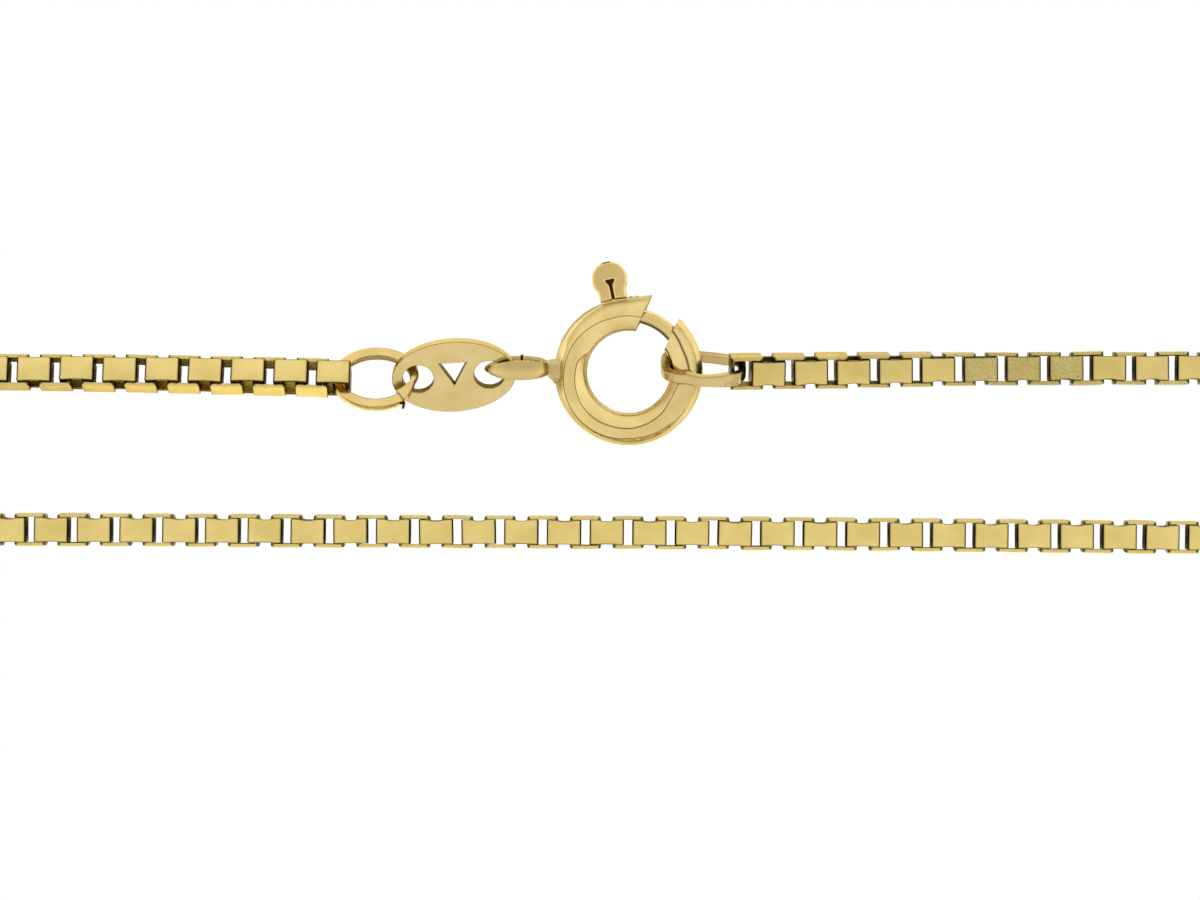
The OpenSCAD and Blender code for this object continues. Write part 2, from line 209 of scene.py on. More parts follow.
def mix_node(nodes, links, share, first, second):
    """Mix of two colours. Each is a socket to link or a fixed colour."""
    mix = nodes.new("ShaderNodeMix")
    mix.data_type = "RGBA"
    links.new(share, mix.inputs[MIX_SHARE])
    for number, colour in ((MIX_FIRST, first), (MIX_SECOND, second)):
        if isinstance(colour, tuple):
            mix.inputs[number].default_value = colour
        else:
            links.new(colour, mix.inputs[number])
    return mix.outputs[MIX_RESULT]


def gold_colour(nodes, links, coords, tint, shade_reach, grain):
    """Drifting gold, painted brown as shade in crevices and by each point's painted shade share,
    mottled by the rub attribute.
    """
    drift = noise_node(nodes, links, coords, DRIFT_SCALE * grain, DRIFT_DETAIL)
    dark, light = ([min(1, part * share) for part, share in zip(tint, shares)]
                   for shares in (DARK_SHARE, LIGHT_SHARE))
    tone = ramp_node(nodes, links, drift, [(DARK_AT, (*dark, 1)), (LIGHT_AT, (*light, 1))])

    # Painted shade: brown where the gold is closed in, and by each point's painted shade share
    openness = openness_node(nodes, shade_reach, CREVICE_SHADE_SAMPLES)
    depth = ramp_node(nodes, links, openness, CREVICE_SHADE_STOPS)
    colour = mix_node(nodes, links, depth, SHADE_BROWN, tone)
    colour = mix_node(nodes, links, attribute_node(nodes, "painted_shade"), colour, SHADE_BROWN)

    spread = nodes.new("ShaderNodeMapRange")
    spread.inputs["From Min"].default_value = SPOT_FROM
    spread.inputs["From Max"].default_value = SPOT_TO
    links.new(noise_node(nodes, links, coords, SPOT_SCALE, SPOT_DETAIL), spread.inputs["Value"])
    amount = nodes.new("ShaderNodeMath")
    amount.operation = "MULTIPLY"
    links.new(spread.outputs["Result"], amount.inputs[0])
    links.new(attribute_node(nodes, "rub"), amount.inputs[1])
    return mix_node(nodes, links, amount.outputs[0], colour, DULL_OLIVE)


def gold_material(name, tint, rough_low, rough_high, scratch, shade_reach=CREVICE_SHADE_REACH, grain=1.0,
                  dent_depth=DENT_DEPTH):
    """Polished gold, painted brown as shade in its crevices, whose gloss and relief vary with fine
    scratches.
    """
    material, nodes, links, shader = new_material(name)
    coords = nodes.new("ShaderNodeTexCoord").outputs["Object"]
    links.new(gold_colour(nodes, links, coords, tint, shade_reach, grain), shader.inputs["Base Color"])

    stretch = nodes.new("ShaderNodeMapping")
    stretch.inputs["Rotation"].default_value = HAIR_TURN
    stretch.inputs["Scale"].default_value = HAIR_STRETCH
    links.new(coords, stretch.inputs["Vector"])
    hair = noise_node(nodes, links, stretch.outputs["Vector"], HAIR_SCALE * grain, HAIR_DETAIL)
    gloss = nodes.new("ShaderNodeMapRange")
    gloss.inputs["To Min"].default_value = rough_low
    gloss.inputs["To Max"].default_value = rough_high
    links.new(hair, gloss.inputs["Value"])
    links.new(gloss.outputs["Result"], shader.inputs["Roughness"])

    relief = nodes.new("ShaderNodeMath")
    relief.operation = "MULTIPLY_ADD"
    relief.inputs[1].default_value = HAIR_RELIEF
    links.new(hair, relief.inputs[0])
    dents = noise_node(nodes, links, coords, DENT_SCALE * grain, DENT_DETAIL)
    links.new(dents, relief.inputs[2])
    bump = nodes.new("ShaderNodeBump")
    bump.inputs["Strength"].default_value = scratch
    bump.inputs["Distance"].default_value = dent_depth
    links.new(relief.outputs[0], bump.inputs["Height"])
    links.new(bump.outputs["Normal"], shader.inputs["Normal"])

    shader.inputs["Metallic"].default_value = 1
    shader.inputs["Specular Tint"].default_value = SPECULAR_TINT
    return material


# Name, tint, least and most roughness, and how strong the scratches are
chain_gold = gold_material("chain_gold", (0.76, 0.605, 0.205), 0.14, 0.26, 0.3, shade_reach=0.00026)
clasp_gold = gold_material("clasp_gold", (0.69, 0.54, 0.215), 0.14, 0.24, 0.2)
catch_gold = gold_material("catch_gold", (0.74, 0.55, 0.21), 0.22, 0.3, 0.14)
tag_gold = gold_material("tag_gold", (0.64, 0.5, 0.21), 0.18, 0.28, 0.12)
end_gold = gold_material("end_gold", (0.58, 0.445, 0.185), 0.2, 0.3, 0.2)
ring_gold = gold_material("ring_gold", (0.69, 0.52, 0.195), 0.14, 0.24, 0.25)
tube_gold = gold_material("tube_gold", (0.83, 0.655, 0.265), 0.16, 0.26, 0.2, shade_reach=0.0002)
solder_gold = gold_material("solder_gold", (0.52, 0.41, 0.2), 0.3, 0.45, 0.6, grain=1.6,
                            dent_depth=2 * DENT_DEPTH)


# Mesh helpers


def skin(rings, closed, offset=0):
    """Faces between rings of points, with flat caps where the line isn't closed."""
    n, m = len(rings[0]), len(rings)
    faces = []
    for i in range(m if closed else m - 1):
        a, b = offset + i * n, offset + ((i + 1) % m) * n
        faces += [(a + k, b + k, b + (k + 1) % n, a + (k + 1) % n) for k in range(n)]
    if not closed:
        faces.append(tuple(offset + k for k in range(n)))
        faces.append(tuple(offset + (m - 1) * n + k for k in reversed(range(n))))
    return faces


def flattened(rings):
    return [p for ring in rings for p in ring]


def joined(*parts):
    """One list of points and one of faces from several pairs of them."""
    points, faces = [], []
    for p, f in parts:
        faces += [tuple(i + len(points) for i in face) for face in f]
        points += p
    return points, faces


def finish_mesh(mesh, material, sharp):
    """Turn the faces outwards, and shade them smooth but for the edges over the sharp angle."""
    shape = bmesh.new()
    shape.from_mesh(mesh)
    bmesh.ops.recalc_face_normals(shape, faces=shape.faces)
    shape.to_mesh(mesh)
    shape.free()
    mesh.materials.clear()
    mesh.materials.append(material)
    mesh.polygons.foreach_set("use_smooth", [True] * len(mesh.polygons))
    mesh.set_sharp_from_angle(angle=math.radians(sharp))


def add_piece(name, points, faces, material, nodes, body="necklace", sharp=32, painted_shade=None,
              rub=None):
    """A piece from points in millimetres, which stands for the named CAD nodes.

    Each point's painted shade is a dark share, painted into creases and at cut edges, and the rub
    is a share of dull mottling."""
    mesh = bpy.data.meshes.new(name)
    mesh.from_pydata([to_metres(p) for p in points], [], faces)
    for attribute, values in (("painted_shade", painted_shade), ("rub", rub)):
        if values:
            mesh.attributes.new(attribute, "FLOAT", "POINT").data.foreach_set("value", values)
    finish_mesh(mesh, material, sharp)
    piece = bpy.data.objects.new(name, mesh)
    bpy.context.collection.objects.link(piece)
    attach(piece, body)
    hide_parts(*nodes)


def signed_power(value, power):
    return math.copysign(abs(value) ** power, value)


def cosd(a):
    return math.cos(math.radians(a))


def sind(a):
    return math.sin(math.radians(a))


def asind(value):
    return math.degrees(math.asin(value))


def turned(angle, axis):
    return Matrix.Rotation(math.radians(angle), 4, axis)


def table_value(x, table):
    """The value at x of a table of (x, value) rows, straight between its rows."""
    if x <= table[0][0]:
        return table[0][1]
    for (a, p), (b, q) in zip(table, table[1:]):
        if x <= b:
            return p + (q - p) * (x - a) / (b - a)
    return table[-1][1]


def ring_at(point, tangent, side, profile):
    """A profile's points across a line: first number away from its middle, second along side."""
    across = tangent.cross(side).normalized()
    return [point + across * q[0] + side * q[1] for q in profile]


# Sizes shared with part.scad, in millimetres and degrees. A SEEN size is the drawn one where the
# photo asks for a slightly different shape.

RING_CENTRE = (1.82, 3.77)
RING_DIAMETER = 7.0
TUBE_DIAMETER = 1.52
RING_RADIUS = (RING_DIAMETER - TUBE_DIAMETER) / 2
TUBE_RADIUS = TUBE_DIAMETER / 2
EYE_HALF_LENGTH, EYE_HALF_HEIGHT = 1.37, 0.75
EYE_THICKNESS = 0.38
EYE_CLEARANCE = 0.215
EYE_X = -RING_DIAMETER / 2 - (EYE_CLEARANCE + EYE_THICKNESS / 2 + EYE_HALF_LENGTH)
EYE_Z = 1.04
EYE_SEEN_RISE = 0.235
EYE_SEEN_TILT = 10
EYE_SPLIT_ANGLE, EYE_SPLIT = -85, 2.0
TUBE_SEAT_Z = 1.46
LEAN = math.atan((TUBE_SEAT_Z - EYE_Z) / (RING_RADIUS - EYE_X))
RING_Z = TUBE_SEAT_Z - RING_RADIUS * math.tan(LEAN)
CATCH_ANGLE = 101.4

TAG_LENGTH, TAG_WIDTH, TAG_THICKNESS = 5.86, 3.52, 0.56
TAG_TILT, TAG_TURN = 22, 4
TAG_HOLE_SPACING = 3.38
TAG_SEAT, TAG_LIFT = 0.08, 0.02
TAG_CENTRE = (
    RING_CENTRE[0] + EYE_X - EYE_HALF_LENGTH + TAG_SEAT - TAG_HOLE_SPACING / 2,
    3.68,
    (TAG_WIDTH * sind(TAG_TILT) + TAG_THICKNESS * cosd(TAG_TILT)) / 2 + TAG_LIFT,
)
JUMP_HALF_LENGTH, JUMP_HALF_WIDTH = 1.84, 1.41
JUMP_WIRE = 0.45
JUMP_TILT = -30
JUMP_SEAT = 0.13
JUMP_CENTRE = (TAG_CENTRE[0] - TAG_HOLE_SPACING / 2 - JUMP_SEAT - JUMP_HALF_LENGTH, 3.47, 0.95)
JUMP_SPLIT_ANGLE = 310

END_HALF_LENGTH, END_HALF_HEIGHT, END_HEIGHT_TAPER = 1.83, 1.32, 0.107
END_TILT = 32
END_LEVEL, END_LEVEL_TAPER = 1.424, 0.09
END_THICKNESS, END_WIDTH = 0.36, 0.5
END_SEAT_GAP = 0.1
END_CENTRE = (
    RING_CENTRE[0] + RING_RADIUS + END_HALF_LENGTH - TUBE_RADIUS - END_THICKNESS / 2 - END_SEAT_GAP,
    3.93,
    END_LEVEL,
)

LINK_SIZE, LINK_WALL = 1.55, 0.18
FLAT_LENGTH, UPRIGHT_LENGTH = 1.62, 1.46
WALL_PLAY = 0.172
LEFT_END_PLAY, RIGHT_END_PLAY = 0.18, 0.2
LEFT_END_X = JUMP_CENTRE[0] - JUMP_HALF_LENGTH - LEFT_END_PLAY
RIGHT_END_X = (END_CENTRE[0] + END_HALF_LENGTH - END_THICKNESS / 2 - RIGHT_END_PLAY
               + UPRIGHT_LENGTH / 2 - LINK_WALL)
SEEN_WIDTH = 1.1
NOMINAL_PITCH = (FLAT_LENGTH + UPRIGHT_LENGTH) / 2 - 2 * LINK_WALL - WALL_PLAY
LINKED_REACH = 60


# The chain's route

NECKLACE_LENGTH = 450
TRIAL_REACH = NECKLACE_LENGTH / 4.5
TURN_RADIUS = 7
TURN_HALF_SWEEP, TURN_STEP = 120, 20
STRAND_GAP, RIGHT_SPREAD = 7.64, 0.18
LEFT_H = STRAND_GAP / 2
RIGHT_H = LEFT_H + RIGHT_SPREAD
FLARE_RISE = 0.5
# Rows of points: the side of the loop whose reach is added to X, or 0 for none, then X and Y
UPPER_LEFT = [(0, LEFT_END_X, 3.53), (0, -20.3, 3.72), (0, -28.4, LEFT_H), (-1, 18.5, LEFT_H),
              (-1, 10.5, LEFT_H), (-1, 7, LEFT_H + FLARE_RISE)]
LOWER = [(-1, 7, -LEFT_H - FLARE_RISE), (-1, 10.5, -LEFT_H), (-1, 18.5, 0.14 - LEFT_H),
         (0, -28.4, 0.2 - LEFT_H), (0, -9, 0.1 - LEFT_H), (0, 9, -LEFT_H), (0, 28.4, -RIGHT_H),
         (1, -18.5, -RIGHT_H), (1, -10.5, -RIGHT_H), (1, -7, -RIGHT_H - FLARE_RISE)]
UPPER_RIGHT = [(1, -7, RIGHT_H + FLARE_RISE), (1, -10.5, RIGHT_H), (1, -18.5, RIGHT_H),
               (0, 28.4, RIGHT_H), (0, 15, RIGHT_H - 0.06), (0, RIGHT_END_X, RIGHT_H - 0.16)]
SAMPLES_PER_SPAN = 14
RIGHT_END_LIFT, LIFT_RUN = 0.45, 9
SURFACE_GAP = 0.006
# Distance from the chain's left or right end, then how far the links are rolled there
ROLL_LEFT = [(0, 25), (7, 19), (14, 13), (20, 7), (30, 0)]
ROLL_RIGHT = [(0, -13), (4, -11), (11, -3.5), (15, 0)]
# Random turns of one link about the chain's line, about Z and about Y, in degrees
ROLL_SPREAD, SWAY_SPREAD, TILT_SPREAD = 1.0, 0.6, 0.4


def control_points(reach):
    """Points of the route, from the jump ring round the whole loop to the end ring."""
    def placed(rows):
        return [Vector((row[0] * reach + row[1], row[2])) for row in rows]

    def turn(side):
        return [Vector((side * (reach + TURN_RADIUS * cosd(a)), -side * TURN_RADIUS * sind(a)))
                for a in range(TURN_HALF_SWEEP, -TURN_HALF_SWEEP - 1, -TURN_STEP)]

    return placed(UPPER_LEFT) + turn(-1) + placed(LOWER) + turn(1) + placed(UPPER_RIGHT)


def smooth_line(p):
    """A smooth line through points, as many short steps. Slopes follow the lengths of the spans."""
    last = len(p) - 1

    def slope(i):
        if i == 0 or i == last:
            d = p[1] - p[0] if i == 0 else p[last] - p[last - 1]
            return d / d.length
        before, after = p[i] - p[i - 1], p[i + 1] - p[i]
        a, b = before.length, after.length
        return (before / a * b + after / b * a) / (a + b)

    line = []
    for i in range(last):
        d = (p[i + 1] - p[i]).length
        m, n = slope(i) * d, slope(i + 1) * d
        for k in range(SAMPLES_PER_SPAN):
            t = k / SAMPLES_PER_SPAN
            line.append((2 * t**3 - 3 * t**2 + 1) * p[i] + (t**3 - 2 * t**2 + t) * m
                        + (3 * t**2 - 2 * t**3) * p[i + 1] + (t**3 - t**2) * n)
    return line + [p[last]]


def distances(line):
    """How far along a line each of its points is."""
    found = [0.0]
    for a, b in zip(line, line[1:]):
        found.append(found[-1] + (b - a).length)
    return found


# The loop has four half runs, so a quarter of what a trial route lacks goes to the reach
chain_length = NECKLACE_LENGTH - (RIGHT_END_X - LEFT_END_X)
trial_length = distances(smooth_line(control_points(TRIAL_REACH)))[-1]
route = smooth_line(control_points(TRIAL_REACH + (chain_length - trial_length) / 4))
along = distances(route)
route_length = along[-1]
# An even count, so that a flat link starts the chain and an upright one ends it
link_count = 2 * math.floor((route_length / NOMINAL_PITCH + 1) / 2 + 0.5)
pitch = route_length / (link_count - 1)


def roll_at(s):
    return table_value(s, ROLL_LEFT) + table_value(route_length - s, ROLL_RIGHT)


def plane_point(s):
    """The point of the route at a distance along it."""
    s = min(max(s, 0), route_length)
    low, high = 0, len(along) - 1
    while high - low > 1:
        middle = (low + high) // 2
        if along[middle] <= s:
            low = middle
        else:
            high = middle
    t = (s - along[low]) / (along[high] - along[low])
    return route[low].lerp(route[high], t)


def line_at(s):
    """The route with the rise that the end ring gives its last stretch."""
    p = plane_point(s)
    return Vector((p.x, p.y, RIGHT_END_LIFT * max(0, 1 - (route_length - s) / LIFT_RUN) ** 2))


def point_at(s):
    """Middle of a link that rests on its lowest corner."""
    roll = roll_at(s)
    lowest = LINK_SIZE / 2 * cosd(roll) + SEEN_WIDTH / 2 * abs(sind(roll))
    return line_at(s) + Vector((0, 0, SURFACE_GAP + lowest))


def link_matrix(i, loose):
    """Place and turn of link i. It takes three random numbers: roll, sway and tilt."""
    s = i * pitch
    step = line_at(min(s + pitch / 2, route_length)) - line_at(max(s - pitch / 2, 0))
    step.normalize()
    turn = (Matrix.Rotation(math.atan2(step.y, step.x), 4, "Z")
            @ Matrix.Rotation(-math.asin(step.z), 4, "Y"))
    roll = turned(roll_at(s) + rng.gauss(0, ROLL_SPREAD) * loose + 90 * (i % 2), "X")
    sway = turned(rng.gauss(0, SWAY_SPREAD) * loose, "Z")
    tilt = turned(rng.gauss(0, TILT_SPREAD) * loose, "Y")
    return Matrix.Translation(point_at(s)) @ turn @ sway @ tilt @ roll


# Chain links

OUTER_BEND, INNER_BEND = 0.135, 0.02
EDGE = 0.024
# How deep and how wide the strip's edges are rounded, in shares of EDGE
OUTER_EDGE_DEPTH, INNER_EDGE_DEPTH, INNER_EDGE_WIDTH = 0.8, 0.5, 0.6
CROWN, END_CROWN_SHARE = 0.006, 0.4
# Distance from a link's middle, then how far its long side is cut in there
NOTCH = [(0.14, 0.065), (0.3, 0.02), (0.7, 0)]
WAIST = [(0.2, 0.02), (0.7, 0)]
FLAT_EXTRA_WIDTH, FLAT_EDGE = 0.07, 0.055
# Painted shade on the links: on the edges and inner side of flat links, on their ends, and on the
# inner edges
FLAT_EDGE_SHADE, FLAT_INSIDE_SHADE = 0.9, 0.2
END_EDGE_SHADE = 0.95
INNER_EDGE_SHADE, INNER_END_SHADE = 0.1, 0.5
# X of a face's normal from which it counts as a link's end, and how much further it does in full
END_FROM, END_FADE = 0.3, 0.3
LONG_SIDE_FROM = 0.9
# Beside the clasp, flat links on the left have no notch, and upright ones are longer and squarer
PLAIN_RUN, CRISP_RUN = 26, 30
CRISP_LENGTH, CRISP_BEND = 1.52, 0.05
CRISP_RUB = 0.28
# Steps round each corner and along each side, and the share of the random turns
NEAR_STEPS, NEAR_LOOSE = (4, 5), 1.0
FAR_STEPS, FAR_LOOSE = (3, 2), 0.4
# Distance from the chain's left or right end, then how much darker or how mottled the links are
# there
DARKER_NEAR_LEFT = [(0, 0.06), (12, 0.04), (20, 0.0)]
DARKER_NEAR_RIGHT = [(0, 0.2), (3, 0.13), (9, 0.12), (15, 0.14), (22, 0.05), (30, 0.0)]
RUBBED_RIGHT = [(10.9, 0), (11, 0.58), (15.4, 0.58), (15.5, 0)]


def corner_outline(half_x, half_z, bend, steps):
    """Closed rounded outline in X and Z, as pairs of a point and its outward normal."""
    corner_steps, side_steps = steps
    found = []
    for quarter, (sx, sz) in enumerate(((1, 1), (-1, 1), (-1, -1), (1, -1))):
        for k in range(corner_steps + 1):
            a = 90 * quarter + 90 * k / corner_steps
            point = (sx * (half_x - bend) + bend * cosd(a), 0,
                     sz * (half_z - bend) + bend * sind(a))
            found.append((Vector(point), Vector((cosd(a), 0, sind(a)))))
        along_x = quarter % 2 == 0
        span = 2 * ((half_x if along_x else half_z) - bend)
        a = 90 * quarter + 90
        here, normal = found[-1][0], Vector((cosd(a), 0, sind(a)))
        for k in range(1, side_steps):
            t = k / side_steps
            rise = CROWN * (1 - (2 * t - 1) ** 2) * (1 if along_x else END_CROWN_SHARE)
            found.append((here + Vector((-sind(a), 0, cosd(a))) * span * t + normal * rise, normal))
    return found


def link_shape(length, bend, notch, flat, steps):
    """One link about its own centre: a strip bent into a square loop, very slightly crowned.

    Returns the rings of points across the strip and their painted shade. A flat link is a little
    wider, with broader edges painted darker as shade."""
    outer = corner_outline(length / 2, LINK_SIZE / 2, bend, steps)
    inner = corner_outline(length / 2 - LINK_WALL, LINK_SIZE / 2 - LINK_WALL, INNER_BEND, steps)
    half = (SEEN_WIDTH + FLAT_EXTRA_WIDTH if flat else SEEN_WIDTH) / 2
    edge = FLAT_EDGE if flat else EDGE
    painted_darkening, inside = (FLAT_EDGE_SHADE, FLAT_INSIDE_SHADE) if flat else (0.0, 0.0)
    rings, painted_shade = [], []
    for (p, n), (q, m) in zip(outer, inner):
        end = min(1, max(0, (abs(n.x) - END_FROM) / END_FADE))
        side_shade = max(painted_darkening, END_EDGE_SHADE * end)
        low_shade = max(painted_darkening, INNER_EDGE_SHADE + INNER_END_SHADE * end)
        painted_shade.append([end, end, side_shade, low_shade, inside, inside, low_shade, side_shade])
        long_side = abs(n.z) > LONG_SIDE_FROM
        low = half - (table_value(abs(p.x), WAIST) if long_side else 0)
        high = half - (table_value(abs(p.x), notch) if long_side else 0)
        out_edge, in_edge = p - n * EDGE * OUTER_EDGE_DEPTH, q + m * EDGE * INNER_EDGE_DEPTH
        inset = EDGE * INNER_EDGE_WIDTH
        places = [(p, -low + edge), (p, high - edge), (out_edge, high), (in_edge, high),
                  (q, high - inset), (q, -low + inset), (in_edge, -low), (out_edge, -low)]
        rings.append([place + Vector((0, y, 0)) for place, y in places])
    return rings, painted_shade


def make_links(name, chosen, steps, loose, nodes):
    """The chosen links as one piece."""
    notched = link_shape(FLAT_LENGTH, OUTER_BEND, NOTCH, True, steps)
    plain = link_shape(FLAT_LENGTH, OUTER_BEND, WAIST, True, steps)
    upright = link_shape(UPRIGHT_LENGTH, OUTER_BEND, WAIST, False, steps)
    crisp = link_shape(CRISP_LENGTH, CRISP_BEND, WAIST, False, steps)
    points, faces, painted_darkening, rub = [], [], [], []
    for i in chosen:
        matrix = link_matrix(i, loose)
        s = i * pitch
        worn = table_value(route_length - s, RUBBED_RIGHT)
        if i % 2 == 0:
            rings, painted_shade = plain if s < PLAIN_RUN else notched
        elif min(s, route_length - s) < CRISP_RUN:
            rings, painted_shade = crisp
            worn = max(worn, CRISP_RUB)
        else:
            rings, painted_shade = upright
        faces += skin(rings, True, len(points))
        points += [matrix @ p for p in flattened(rings)]
        darker_by = table_value(s, DARKER_NEAR_LEFT) + table_value(route_length - s, DARKER_NEAR_RIGHT)
        painted_darkening += [min(1, share + darker_by) for share in flattened(painted_shade)]
        rub += [worn] * len(flattened(rings))
    add_piece(name, points, faces, chain_gold, nodes, sharp=34, painted_shade=painted_darkening, rub=rub)


linked = [i for i in range(link_count) if abs(point_at(i * pitch).x) <= LINKED_REACH]
far = [i for i in range(link_count) if abs(point_at(i * pitch).x) > LINKED_REACH]
make_links("chain_near", linked, NEAR_STEPS, NEAR_LOOSE, ["chain_links"])
make_links("chain_far", far, FAR_STEPS, FAR_LOOSE, ["chain_turns"])


# Clasp ring. An angle runs round the ring, and phi round the tube's section, from its outer side
# over the top.

RING_FRAME = (Matrix.Translation((RING_CENTRE[0], RING_CENTRE[1], RING_Z))
              @ Matrix.Rotation(-LEAN, 4, "Y"))
RING_STEPS = 150
MOUTH_DIRECTION, MOUTH_WIDTH = 65, 1.62
MOUTH_LEFT = 0.534
MOUTH_RIGHT = MOUTH_LEFT - MOUTH_WIDTH
CUT_TRIES = 4
FLARE_START, FLARE_RUN = 97.1, 40
BORE_RADIUS = 0.43
# The slot's half width goes down to nearly nothing over the taper, and an extra station ends it
SLOT_HALF, CLOSED_SLOT_HALF = 0.28, 0.0007
SLOT_END_ANGLE, SLOT_TAPER, SLOT_END_STEP = 158.4, 4, 0.0015
# Angle, then the radius of the tube's two polished creases from the ring's centre
OUTER_CREASE = [(76, 2.67), (110, 2.67), (130, 2.76), (152, 2.9), (170, 2.98), (200, 3.15),
                (215, 3.2), (235, 3.22), (255, 3.18), (270, 3.11), (298, 3.13), (307, 3.13),
                (317, 3.2), (335, 3.21), (345, 3.28), (351, 3.3), (362, 2.88), (383, 2.79),
                (402, 2.87)]
INNER_CREASE = [(76, 2.02), (150, 2.06), (168, 2.42), (195, 2.56), (215, 2.66), (235, 2.68),
                (255, 2.64), (272, 2.64), (290, 2.57), (303, 2.52), (313, 2.47), (326, 2.38),
                (337, 2.36), (350, 2.42), (358, 2.1), (402, 2.04)]
CREASE_LIMITS = (-0.93, 0.98)
# Angle, then how far the tube is moved away from the ring's centre to follow the photo
SETTLED = [(76, 0), (160, 0), (195, -0.03), (235, -0.085), (315, -0.09), (340, -0.04), (360, 0),
           (402, 0)]
# Angle, then the painted shade of the outer crease, of the slot's edge, and of the bands between
OUTER_LINE = [(76, 0.97), (302, 0.97), (318, 0.4), (352, 0.3), (358, 0.97), (402, 0.97)]
EDGE_LINE = [(76, 0.1), (112, 0.15), (125, 0.75), (160, 0.7), (190, 0.5), (215, 0.3), (402, 0.3)]
OUTER_TONE = [(76, 0.14), (160, 0.14), (200, 0.22), (215, 0.36), (235, 0.25), (300, 0.24),
              (320, 0.17), (402, 0.17)]
MIDDLE_TONE = 0.16
INNER_TONE = [(150, 0.17), (195, 0.03), (235, 0.15), (270, 0.12), (315, 0.16), (340, 0.14),
              (402, 0.17)]
RIM_TONE = [(76, 0.45), (160, 0.5), (195, 0.6), (215, 0.45), (255, 0.25), (290, 0.3), (315, 0.5),
            (402, 0.5)]
# Depth of a crease's groove, and its half width in degrees of phi by angle
GROOVE = 0.025
GROOVE_HALF = [(76, 2.6), (150, 2.4), (200, 2.2), (240, 3.4), (310, 3.4), (355, 2.4), (365, 7),
               (402, 7)]
# The bands between the slot, the creases, the fold and the inner side: how flat, and their steps
BANDS = ((0.5, 9), (0.8, 8), (0.8, 5), (0.5, 3))
SIDE_PHI, FOLD_PHI, INNER_PHI = 9, 146, 172
LEAST_SIDE, LEAST_TOP, LEAST_FOLD = 9, 12, 4
UNDER_STEPS = 14
SLOT_EDGE_PHI, SHADED_PHI, SHADE = 14, 42, 0.14
# Painted shade in the creases' grooves, at the slot, in the bore and at the cut ends
GROOVE_SHADE, SLOT_SHADE, BORE_SHADE, CUT_SHADE = 0.97, 0.25, 0.6, 0.25


def flare(angle):
    """How far the tube's outer side stands off its circle beside the mouth."""
    turn = FLARE_START - angle
    if turn <= 0 or turn > FLARE_RUN:
        return 0.0
    return (RING_RADIUS + TUBE_RADIUS) * (1 / cosd(turn) - 1)


def crease_phi(angle, table):
    low, high = CREASE_LIMITS
    offset = (table_value(angle, table) - RING_RADIUS - table_value(angle, SETTLED)) / TUBE_RADIUS
    return math.degrees(math.acos(min(high, max(low, offset))))


def on_circle(phi):
    return Vector((TUBE_RADIUS * cosd(phi), TUBE_RADIUS * sind(phi)))


def tube_section(angle, lip):
    """Outer section of the tube at an angle round the ring, from the slot over the top and below.

    Each entry is a point (outwards, upwards) and its painted shade. The bands between creases are
    flattened, and lip is the phi of the slot's edge."""
    outer = max(crease_phi(angle, OUTER_CREASE), lip + LEAST_SIDE)
    inner = max(crease_phi(angle, INNER_CREASE), outer + LEAST_TOP)
    fold = max(FOLD_PHI, inner + LEAST_FOLD)
    limits = (max(lip, SIDE_PHI), outer, inner, fold, INNER_PHI)
    edge = table_value(angle, EDGE_LINE)
    rim_tone = table_value(angle, RIM_TONE)
    tones = (table_value(angle, OUTER_TONE), MIDDLE_TONE, table_value(angle, INNER_TONE), rim_tone)
    found = [(Vector((TUBE_RADIUS, TUBE_RADIUS * sind(lip))), max(SLOT_SHADE, edge))]
    for number, ((flat, steps), start, end) in enumerate(zip(BANDS, limits, limits[1:])):
        a, b = on_circle(start), on_circle(end)
        rim = table_value(angle, GROOVE_HALF) / (end - start)
        for t in [rim] + [k / steps for k in range(1, steps)] + [1 - rim]:
            phi = start + (end - start) * t
            shade = SHADE if phi < SHADED_PHI else 0
            painted_shade = edge if phi < SLOT_EDGE_PHI else tones[number] + shade
            found.append((on_circle(phi).lerp(a.lerp(b, t), flat), painted_shade))
        if number < 2:    # a crease ends the band
            line = GROOVE_SHADE if number else table_value(angle, OUTER_LINE)
            found.append((b - b.normalized() * GROOVE, line))
    found.append((on_circle(180), rim_tone))
    for k in range(1, UNDER_STEPS):
        found.append((on_circle(180 + (180 - lip) * k / UNDER_STEPS), MIDDLE_TONE))
    return found + [(Vector((TUBE_RADIUS, -TUBE_RADIUS * sind(lip))), SLOT_SHADE)]


def cut_angle(rho, line):
    """Angle at which a side of the straight mouth meets a circle about the ring's centre."""
    return MOUTH_DIRECTION + asind(line / rho)


def ring_point(section, t):
    """Point of the ring at share t of the way round from the mouth's left cut to its right cut."""
    rho = RING_RADIUS + section.x
    for _ in range(CUT_TRIES):
        start = cut_angle(rho, MOUTH_LEFT)
        end = cut_angle(RING_RADIUS + section.x, MOUTH_RIGHT) + 360
        angle = start + (end - start) * t
        stand_off = max(0, section.x / TUBE_RADIUS) * flare(angle)
        rho = RING_RADIUS + section.x + table_value(angle, SETTLED) + stand_off
    return Vector((rho * cosd(angle), rho * sind(angle), section.y))


